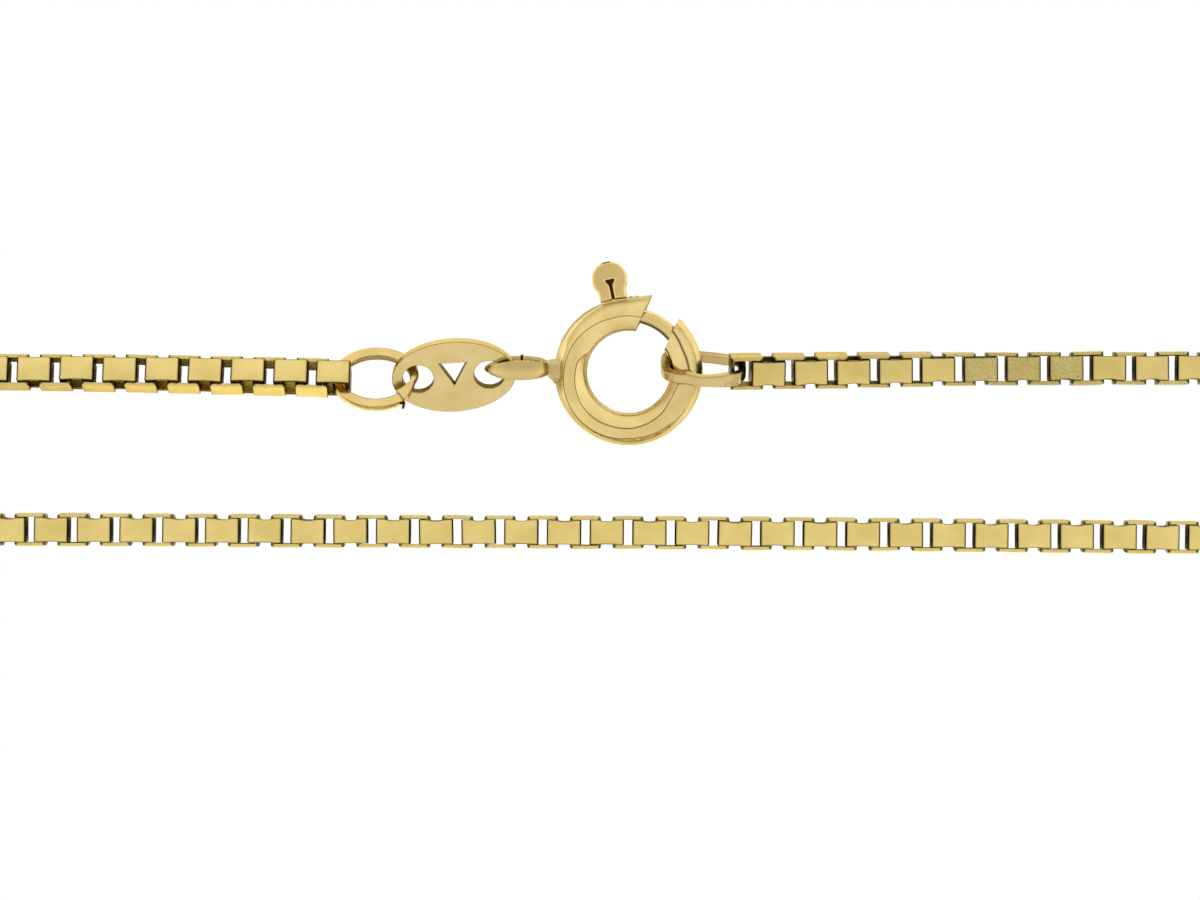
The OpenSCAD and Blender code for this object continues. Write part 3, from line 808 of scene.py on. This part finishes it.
def make_clasp_ring():
    """The open tube from one side of the mouth to the other, with its bore and the catch's slot."""
    start = cut_angle(RING_RADIUS, MOUTH_LEFT)
    end = cut_angle(RING_RADIUS, MOUTH_RIGHT) + 360
    slot_end = (SLOT_END_ANGLE - start) / (end - start)
    stations = sorted([k / RING_STEPS for k in range(RING_STEPS + 1)]
                      + [slot_end, slot_end + SLOT_END_STEP])
    points, faces, painted_shade = [], [], []
    for t in stations:
        angle = start + (end - start) * t
        openness = min(1, max(0, (SLOT_END_ANGLE - angle) / SLOT_TAPER)) ** 0.5
        lip = max(CLOSED_SLOT_HALF, SLOT_HALF * openness)
        section = tube_section(angle, asind(lip / TUBE_RADIUS))
        count = len(section)
        bore_lip = asind(lip / BORE_RADIUS)
        bore = [bore_lip + (360 - 2 * bore_lip) * k / (count - 1) for k in range(count)]
        section += [(Vector((BORE_RADIUS * cosd(a), BORE_RADIUS * sind(a))), BORE_SHADE)
                    for a in bore]
        for place, share in section:
            points.append(RING_FRAME @ ring_point(place, t))
            painted_shade.append(max(share, CUT_SHADE if t in (0, 1) else 0))
    row = 2 * count
    last = (len(stations) - 1) * row
    for a in range(0, last, row):
        b = a + row
        for k in range(count - 1):
            faces.append((a + k, a + k + 1, b + k + 1, b + k))
            faces.append((a + count + k, b + count + k, b + count + k + 1, a + count + k + 1))
        for k in (0, count - 1):
            faces.append((a + k, b + k, b + count + k, a + count + k))
    for a in (0, last):
        for k in range(count - 1):
            faces.append((a + k, a + k + 1, a + count + k + 1, a + count + k))
    return points, faces, painted_shade


# The eye and the solder

TANGENT_STEP = 0.4
EYE_STEPS = 72
EYE_SQUARENESS, EYE_MARGIN = 0.8, 0.05
EYE_HALF_WIDTH = 0.45
# Share of the width lost at the eye's end by the tag and at the one by the ring, each with a power
EYE_TIP_TAPER, EYE_TIP_POWER = 0.86, 2.2
EYE_ROOT_TAPER, EYE_ROOT_POWER = 0.4, 3
# Painted shade at the eye's end by the tag, and its power
EYE_TIP_SHADE, EYE_TIP_SHADE_POWER = 0.5, 8
# A slightly thicker filling, painted black for the shade in the split's gap, is drawn in the split
SPLIT_MARGIN, SPLIT_SWELL = 0.05, 1.15
# Shares of the half thickness and half width across the strip, then the painted shade
EYE_PROFILE = [(0.55, -1, 0.25), (0.86, -0.72, 0.15), (1, -0.25, 0), (0.84, 0.45, 0.24),
               (0.5, 1, 0.25), (-0.7, 1, 0.3), (-1, 0.72, 0.45), (-1, -0.72, 0.45), (-0.7, -1, 0.3)]
# X, half size along Y and along Z, and shift along Y
SOLDER_STATIONS = [(-3.18, 0.7, 0.6, 0.07), (-3.5, 0.62, 0.52, 0.08), (-3.64, 0.52, 0.46, 0.16),
                   (-3.8, 0.42, 0.4, 0.22), (-3.97, 0.3, 0.32, 0.22)]
SOLDER_TURNS = (20, 62, 118, 160, 215, 270, 325)


def make_eye():
    """Split eye on its edge: a strip with a soft ridge on its outer side, narrow by the tag."""
    side = Vector((0, cosd(EYE_SEEN_TILT), sind(EYE_SEEN_TILT)))
    up = Vector((0, -sind(EYE_SEEN_TILT), cosd(EYE_SEEN_TILT)))
    sweep = 360 - 2 * EYE_SPLIT
    stations = [(EYE_SPLIT_ANGLE + EYE_SPLIT + sweep * k / EYE_STEPS, 1.0)
                for k in range(EYE_STEPS + 1)]
    stations += [(EYE_SPLIT_ANGLE + 360 - EYE_SPLIT + SPLIT_MARGIN, SPLIT_SWELL),
                 (EYE_SPLIT_ANGLE + 360 + EYE_SPLIT - SPLIT_MARGIN, SPLIT_SWELL)]

    def at(angle):
        x = EYE_HALF_LENGTH * signed_power(cosd(angle), EYE_SQUARENESS)
        return (Vector((x, 0, 0))
                + up * EYE_HALF_HEIGHT * signed_power(sind(angle), EYE_SQUARENESS))

    rings, painted_shade = [], []
    for angle, swell in stations:
        p = at(angle)
        tangent = (at(angle + TANGENT_STEP) - at(angle - TANGENT_STEP)).normalized()
        share = min(1, abs(p.x) / (EYE_HALF_LENGTH + EYE_MARGIN))
        if p.x < 0:
            left = 1 - EYE_TIP_TAPER * share ** EYE_TIP_POWER
            tip = share ** EYE_TIP_SHADE_POWER * EYE_TIP_SHADE
        else:
            left = 1 - EYE_ROOT_TAPER * share ** EYE_ROOT_POWER
            tip = 0
        half = EYE_HALF_WIDTH * left * swell
        x = -EYE_THICKNESS / 2 * swell
        profile = [(x * across, half * width) for across, width, _ in EYE_PROFILE]
        rings.append(ring_at(p + Vector((EYE_X, EYE_SEEN_RISE, 0)), tangent, side, profile))
        painted_shade += [1.0 if swell > 1 else max(tip, value) for _, _, value in EYE_PROFILE]
    return [RING_FRAME @ p for p in flattened(rings)], skin(rings, True), painted_shade


def make_solder():
    """Solder between the ring and its eye, in a few flat facets."""
    rings = [[Vector((x, shift + half_y * cosd(a), half_z * sind(a))) for a in SOLDER_TURNS]
             for x, half_y, half_z, shift in SOLDER_STATIONS]
    return [RING_FRAME @ p for p in flattened(rings)], skin(rings, False)


points, faces, painted_shade = make_clasp_ring()
add_piece("clasp_ring_tube", points, faces, tube_gold, ["clasp_ring"], sharp=38,
          painted_shade=painted_shade)
points, faces, painted_shade = make_eye()
add_piece("clasp_eye", points, faces, clasp_gold, ["clasp_ring"], sharp=26, painted_shade=painted_shade)
points, faces = make_solder()
add_piece("clasp_solder", points, faces, solder_gold, ["clasp_ring"], sharp=12)


# Bolt and thumb catch. The catch is drawn with its leg along -Y, and then turned to its angle.

BOLT_RADIUS, BOLT_SIDES = 0.34, 24
# Angle round the ring, then the share of the bolt's radius, at its rounded tip and at its tail
BOLT_TIP = [(37.0, 0.62), (37.4, 0.8), (38.2, 0.94), (39.6, 1.0)]
BOLT_TAIL = (117.9, 0.9)
BOLT_SWEEP, BOLT_STEPS = 78, 40
# Angle round the bolt's own section, then its painted shade, a dark line along its inner edge
BOLT_SHADE = [(0, 0), (105, 0.0), (120, 0.18), (135, 0.6), (150, 0.95), (200, 0.95), (215, 0.0)]
WELD_DISTANCE = 0.0005
BEVEL_STEPS = 3
HEAD_Y, HEAD_RADIUS = 4.51, 0.83
HEAD_TURNS = range(90, -37, -6)
CATCH_THICKNESS, CATCH_BEVEL = 0.8, 0.13
# Right half of the leg and of its slit, from the head down and up again inside the slit
LEG_RIGHT = [(0.64, 3.93), (0.635, 3.86), (0.635, 3.49), (0.32, 3.522), (0.045, 3.53),
             (0.045, 3.8), (0.05, 4.1), (0.065, 4.25), (0.15, 4.36), (0.19, 4.45), (0.12, 4.47),
             (0, 4.45)]
# The foot joins the catch to the bolt inside the tube, and a block painted black for the slit's
# shade shows in the slit
FOOT = [(-0.48, 2.92), (0.6, 2.92), (0.66, 3.3), (1.2, 3.26), (1.2, 3.46), (1.06, 3.5),
        (0.98, 3.44), (0.88, 3.53), (0.76, 3.53), (0.7, 3.47), (-0.48, 3.6)]
FOOT_THICKNESS, FOOT_BEVEL = 0.45, 0.03
SLIT_SHADE_BLOCK = [(-0.26, 3.56), (0.26, 3.56), (0.26, 4.55), (-0.26, 4.55)]
SLIT_SHADE_THICKNESS, SLIT_SHADE_BEVEL = 0.3, 0.01
# The painted shade line round the top of the head: its turns, how wide its rim is, and how high it
# reaches
CREST_FROM, CREST_TO, CREST_RIM, CREST_TOP = 74, 104, 0.1, 0.39
# A point of the catch is on a face above the first height, and on a bevel above the second
CATCH_FACE_Z, CATCH_BEVEL_Z = 0.395, 0.25
# Painted shade on the catch's faces, bevels and walls and on its foot, and deep painted shade for
# the head's line and the slit
CATCH_FACE_SHADE, CATCH_BEVEL_SHADE, CATCH_WALL_SHADE = 0.17, 0.0, 0.4
FOOT_SHADE, DEEP_SHADE = 0.2, 0.97


def make_bolt():
    stations = BOLT_TIP + [(BOLT_TIP[-1][0] + BOLT_SWEEP * k / BOLT_STEPS, 1.0)
                           for k in range(1, BOLT_STEPS + 1)] + [BOLT_TAIL]
    turns = [360 * k / BOLT_SIDES for k in range(BOLT_SIDES)]
    rings = []
    for angle, share in stations:
        r = BOLT_RADIUS * share
        rings.append([Vector(((RING_RADIUS + r * cosd(phi)) * cosd(angle),
                              (RING_RADIUS + r * cosd(phi)) * sind(angle), r * sind(phi)))
                      for phi in turns])
    painted_shade = [table_value(phi, BOLT_SHADE) for phi in turns] * len(stations)
    return [RING_FRAME @ p for p in flattened(rings)], skin(rings, False), painted_shade


def plate_mesh(name, outlines, thickness, bevel):
    """Flat plate with holes, cut from outlines in its own plane, with rounded edges."""
    curve = bpy.data.curves.new(name, "CURVE")
    curve.dimensions = "2D"
    curve.fill_mode = "BOTH"
    curve.extrude = thickness / 2 - bevel
    curve.bevel_depth = bevel
    curve.bevel_resolution = BEVEL_STEPS
    curve.offset = -bevel
    for outline in outlines:
        spline = curve.splines.new("POLY")
        spline.points.add(len(outline) - 1)
        for point, (x, y) in zip(spline.points, outline):
            point.co = (x, y, 0, 1)
        spline.use_cyclic_u = True
    holder = bpy.data.objects.new(name, curve)
    bpy.context.collection.objects.link(holder)
    bpy.context.view_layer.update()
    evaluated = holder.evaluated_get(bpy.context.evaluated_depsgraph_get())
    mesh = bpy.data.meshes.new_from_object(evaluated)
    bpy.data.objects.remove(holder)
    bpy.data.curves.remove(curve)
    shape = bmesh.new()
    shape.from_mesh(mesh)
    bmesh.ops.remove_doubles(shape, verts=shape.verts, dist=WELD_DISTANCE)
    shape.to_mesh(mesh)
    shape.free()
    return mesh


def mesh_parts(mesh, matrix):
    """A mesh's points and faces, with the points moved by a matrix."""
    return [matrix @ v.co for v in mesh.vertices], [tuple(p.vertices) for p in mesh.polygons]


def catch_outline():
    """Outline of the catch, its leg pointing down along -Y: a round head and a leg with a slit."""
    right = [(HEAD_RADIUS * cosd(a), HEAD_Y + HEAD_RADIUS * sind(a)) for a in HEAD_TURNS]
    right += LEG_RIGHT
    return right + [(-x, y) for x, y in reversed(right[1:-1])]


def catch_shade(place):
    turn = math.degrees(math.atan2(place.y - HEAD_Y, place.x))
    rim = Vector((place.x, place.y - HEAD_Y)).length > HEAD_RADIUS - CREST_RIM
    if CREST_FROM < turn < CREST_TO and rim and place.z < CREST_TOP:
        return DEEP_SHADE
    if abs(place.z) > CATCH_FACE_Z:
        return CATCH_FACE_SHADE
    return CATCH_BEVEL_SHADE if abs(place.z) > CATCH_BEVEL_Z else CATCH_WALL_SHADE


def make_catch():
    matrix = RING_FRAME @ turned(CATCH_ANGLE - 90, "Z")
    plate = plate_mesh("catch_plate", [catch_outline()], CATCH_THICKNESS, CATCH_BEVEL)
    foot = plate_mesh("catch_foot", [FOOT], FOOT_THICKNESS, FOOT_BEVEL)
    slit_shade = plate_mesh("catch_slit_shade", [SLIT_SHADE_BLOCK], SLIT_SHADE_THICKNESS, SLIT_SHADE_BEVEL)
    points, faces = joined(*(mesh_parts(mesh, matrix) for mesh in (plate, foot, slit_shade)))
    painted_shade = [catch_shade(v.co) for v in plate.vertices]
    painted_shade += [FOOT_SHADE] * len(foot.vertices) + [DEEP_SHADE] * len(slit_shade.vertices)
    return points, faces, painted_shade


points, faces, painted_shade = make_bolt()
add_piece("bolt_wire", points, faces, clasp_gold, ["bolt"], "bolt_carrier", sharp=40,
          painted_shade=painted_shade)
points, faces, painted_shade = make_catch()
add_piece("catch_strip", points, faces, catch_gold, ["thumb_catch"], "bolt_carrier",
          sharp=9, painted_shade=painted_shade)


# Tag

TAG_POINTS, TAG_HOLE_POINTS = 128, 56
TAG_HOLE = (0.74, 0.69)
TAG_WINDOW = [(-0.67, 0.7), (0.67, 0.7), (0, -0.42)]
TAG_BEVEL = 0.035
# Share of the outline's square from which a point is on the rim, and how far its walls and rounded
# edges are from the plate's faces
RIM_FROM, TAG_WALL, TAG_EDGE = 0.92, 0.03, 0.002
# Painted shade on the rounded edges and walls of the rim and of the holes
RIM_EDGE_SHADE, HOLE_EDGE_SHADE, RIM_WALL_SHADE, HOLE_WALL_SHADE = 0.6, 0.35, 0.16, 0.45


def ellipse(cx, cy, rx, ry, count):
    turns = [360 * k / count for k in range(count)]
    return [(cx + rx * cosd(a), cy + ry * sind(a)) for a in turns]


def tag_shade(place):
    x, y, depth = place.x / (TAG_LENGTH / 2), place.y / (TAG_WIDTH / 2), abs(place.z)
    rim = x ** 2 + y ** 2 > RIM_FROM
    if depth < TAG_THICKNESS / 2 - TAG_WALL:
        return RIM_WALL_SHADE if rim else HOLE_WALL_SHADE
    if depth < TAG_THICKNESS / 2 - TAG_EDGE:
        return RIM_EDGE_SHADE if rim else HOLE_EDGE_SHADE
    return 0.0


def make_tag():
    hole = TAG_HOLE_SPACING / 2
    outlines = [
        ellipse(0, 0, TAG_LENGTH / 2, TAG_WIDTH / 2, TAG_POINTS),
        ellipse(-hole, 0, *TAG_HOLE, TAG_HOLE_POINTS),
        ellipse(hole, 0, *TAG_HOLE, TAG_HOLE_POINTS),
        TAG_WINDOW,
    ]
    mesh = plate_mesh("tag_plate", outlines, TAG_THICKNESS, TAG_BEVEL)
    matrix = Matrix.Translation(TAG_CENTRE) @ turned(TAG_TILT, "X") @ turned(TAG_TURN, "Z")
    return (*mesh_parts(mesh, matrix), [tag_shade(v.co) for v in mesh.vertices])


# Jump ring

JUMP_STEPS, JUMP_SPLIT = 130, 0.25
JUMP_HALF_STRIP = 0.255
# Angle, then where the wire's inner side and its outer side stand, in half widths
JUMP_INNER = [(310, -1.87), (334, -1.5), (352, -0.95), (366, -1), (384, -1), (640, -1), (668, -1.1)]
JUMP_OUTER = [(310, 1.0), (334, 0.2), (352, 0.0), (366, 0.6), (384, 1), (640, 1), (668, 1)]
# Shares of the half width and half height round the wire, then the painted shade
JUMP_PROFILE = [(1, -0.5, 0), (1, 0.55, 0), (0.9, 0.86, 0.45), (0.72, 1, 0), (-0.72, 1, 0),
                (-0.9, 0.86, 0.45), (-1, 0.5, 0.6), (-1, -0.5, 0.6), (-0.85, -0.85, 0.45),
                (-0.5, -1, 0), (0.5, -1, 0), (0.85, -0.85, 0.45)]
# Painted shade at the wire's cut ends
JUMP_CUT_SHADE = 0.35
# The end beside the split rises by this much, which fades out over the run in degrees
JUMP_END_LIFT, JUMP_LIFT_RUN = 0.05, 40
# A sliver painted black for the shadow in the split's gap: X, Y and half width of its stations, and
# its lowest and highest Z
SPLIT_SHADOW_SLIVER = [(1.35, -1.29, 0.035), (1.33, -1.38, 0.06), (1.28, -1.56, 0.05)]
SLIVER_LOW, SLIVER_HEIGHT = -0.1, 0.2


def make_jump_ring():
    """Split ring of flat-sided wire. Its right end is bent out to a broad corner at the split."""
    rings, painted_shade = [], []
    for k in range(JUMP_STEPS + 1):
        a = JUMP_SPLIT_ANGLE + JUMP_SPLIT + (360 - 2 * JUMP_SPLIT) * k / JUMP_STEPS
        inner = table_value(a, JUMP_INNER) * JUMP_HALF_STRIP
        outer = table_value(a, JUMP_OUTER) * JUMP_HALF_STRIP
        lift = JUMP_END_LIFT * max(0, 1 - (a - JUMP_SPLIT_ANGLE) / JUMP_LIFT_RUN)
        point = Vector((JUMP_HALF_LENGTH * cosd(a), JUMP_HALF_WIDTH * sind(a), lift))
        tangent = Vector((-JUMP_HALF_LENGTH * sind(a), JUMP_HALF_WIDTH * cosd(a), 0)).normalized()
        profile = [((inner + outer) / 2 + (outer - inner) / 2 * across, JUMP_WIRE / 2 * up)
                   for across, up, _ in JUMP_PROFILE]
        rings.append(ring_at(point, tangent, Vector((0, 0, 1)), profile))
        cut = JUMP_CUT_SHADE if k in (0, JUMP_STEPS) else 0.0
        painted_shade += [max(cut, share) for _, _, share in JUMP_PROFILE]
    # A sliver painted black stands for the shadow in the split's gap
    shadow_sliver = [[Vector((x + side * half, y, SLIVER_LOW + rise))
             for side, rise in ((-1, 0), (1, 0), (1, SLIVER_HEIGHT), (-1, SLIVER_HEIGHT))]
            for x, y, half in SPLIT_SHADOW_SLIVER]
    points, faces = joined((flattened(rings), skin(rings, False)),
                           (flattened(shadow_sliver), skin(shadow_sliver, False)))
    matrix = Matrix.Translation(JUMP_CENTRE) @ turned(JUMP_TILT, "X")
    return [matrix @ p for p in points], faces, painted_shade + [1.0] * len(flattened(shadow_sliver))


# End ring. A share is X in half lengths from its middle, and the near branch is the upper one.

END_STEPS = 132
END_SQUARENESS = 0.667
# Share, then shifts along Y of the near and the far branch
END_NEAR = [(-1, 0.17), (-0.8, 0.26), (-0.42, 0.3), (-0.07, 0.16), (0.63, 0.12), (1, 0.04)]
END_FAR = [(-1, 0.17), (-0.5, 0.0), (0, -0.1), (0.6, -0.15), (1, 0.04)]
BRANCH_BLEND = 0.8
# Share, then how far the strip goes inwards and how wide its near branch is
END_FULL = [(-1, 1.5), (-0.9, 1.45), (-0.7, 1.0)]
END_SPREAD = [(-1, 0.95), (-0.8, 0.95), (-0.42, 1.06), (0, 1.02), (0.3, 1.18), (0.63, 1.35),
              (0.9, 1.2), (1, 1.0)]
FAR_SPREAD = 0.9
# Shares of the half thickness and half width, with the painted shade on the outer side
END_OUTSIDE = [(0.8, -1, 0.3), (0.97, -0.8, 0.03), (1, 0, 0.0), (0.97, 0.8, 0.05), (0.8, 1, 0.4)]
END_INSIDE = [(0.75, 1), (1, 0.7), (1, -0.7), (0.75, -1)]
# Painted shade on the inner side: deep towards the ring's right end, light elsewhere
INSIDE_DARK_FROM, INSIDE_DARK, INSIDE_SHADE = 0.75, 0.95, 0.12


def end_point(a):
    share = signed_power(cosd(a), END_SQUARENESS)
    v = (END_HALF_HEIGHT - END_HEIGHT_TAPER * share) * signed_power(sind(a), END_SQUARENESS)
    near = min(1, max(0, 0.5 + v / BRANCH_BLEND))
    shift = table_value(share, END_NEAR) * near + table_value(share, END_FAR) * (1 - near)
    return Vector((END_CENTRE[0] + END_HALF_LENGTH * share,
                   END_CENTRE[1] - v * sind(END_TILT) + shift,
                   END_CENTRE[2] + v * cosd(END_TILT) - END_LEVEL_TAPER * share))


def make_end_ring():
    """Closed ring of flat strip, with its outer side softly ridged."""
    x, half = -END_THICKNESS / 2, END_WIDTH / 2
    side = Vector((0, cosd(END_TILT), sind(END_TILT)))
    rings, painted_shade = [], []
    for k in range(END_STEPS):
        a = 360 * (k + 0.5) / END_STEPS
        share = signed_power(cosd(a), END_SQUARENESS)
        wide = half * (table_value(share, END_SPREAD) if sind(a) > 0 else FAR_SPREAD)
        y = -x * table_value(share, END_FULL)
        profile = ([(x * deep, wide * across) for deep, across, _ in END_OUTSIDE]
                   + [(y * deep, wide * across) for deep, across in END_INSIDE])
        tangent = (end_point(a + TANGENT_STEP) - end_point(a - TANGENT_STEP)).normalized()
        rings.append(ring_at(end_point(a), tangent, side, profile))
        inside = INSIDE_DARK if share > INSIDE_DARK_FROM else INSIDE_SHADE
        painted_shade += [value for _, _, value in END_OUTSIDE] + [inside] * len(END_INSIDE)
    return flattened(rings), skin(rings, True), painted_shade


points, faces, painted_shade = make_tag()
add_piece("oval_tag", points, faces, tag_gold, ["tag"], sharp=9, painted_shade=painted_shade)
points, faces, painted_shade = make_jump_ring()
add_piece("split_ring", points, faces, ring_gold, ["jump_ring"], sharp=24, painted_shade=painted_shade)
points, faces, painted_shade = make_end_ring()
add_piece("end_loop", points, faces, end_gold, ["end_ring"], sharp=24, painted_shade=painted_shade)
